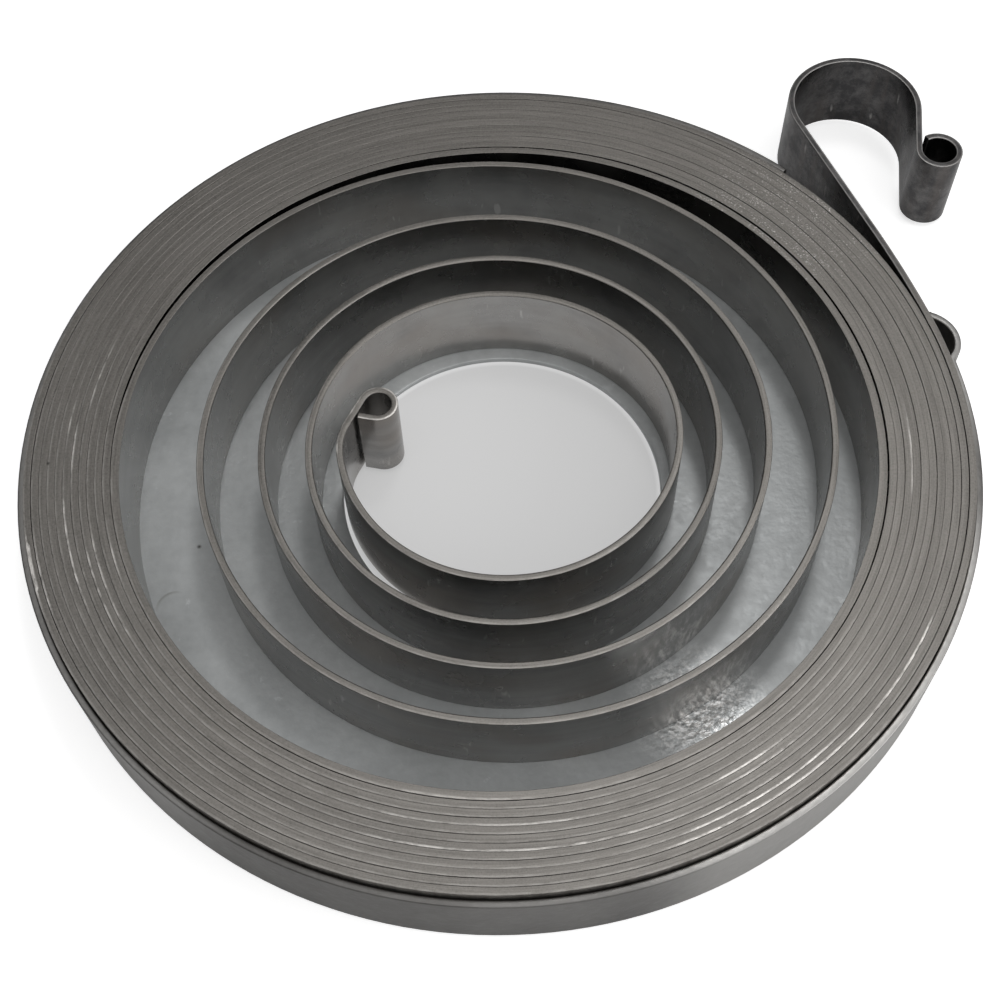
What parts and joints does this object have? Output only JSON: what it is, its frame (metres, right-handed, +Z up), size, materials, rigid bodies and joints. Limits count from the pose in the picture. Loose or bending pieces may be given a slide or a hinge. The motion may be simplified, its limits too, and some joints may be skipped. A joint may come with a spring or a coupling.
{
  "type": "constant force spring",
  "caption": "Flat coiled steel strip spring with a folded inner end and a hooked tail with a rolled eye, lying in a low round sheet-metal case.",
  "frame": {"origin": "on the axis of the hub hole, in the plane of the case's underside", "axes": "+Z up out of the case's open side, +Y towards the side where the hooked tail points, +X to the side where the tail leaves"},
  "size_m": [0.1069, 0.1042, 0.0105],
  "materials": {
    "spring_steel": "rolled strip, satin, lightly oiled and mottled",
    "galvanised_sheet": "galvanised sheet, dull bluish grey"
  },
  "bodies": {
    "root": {"spring_strip": "spring_steel", "spring_case": "galvanised_sheet"}
  },
  "joints": []
}
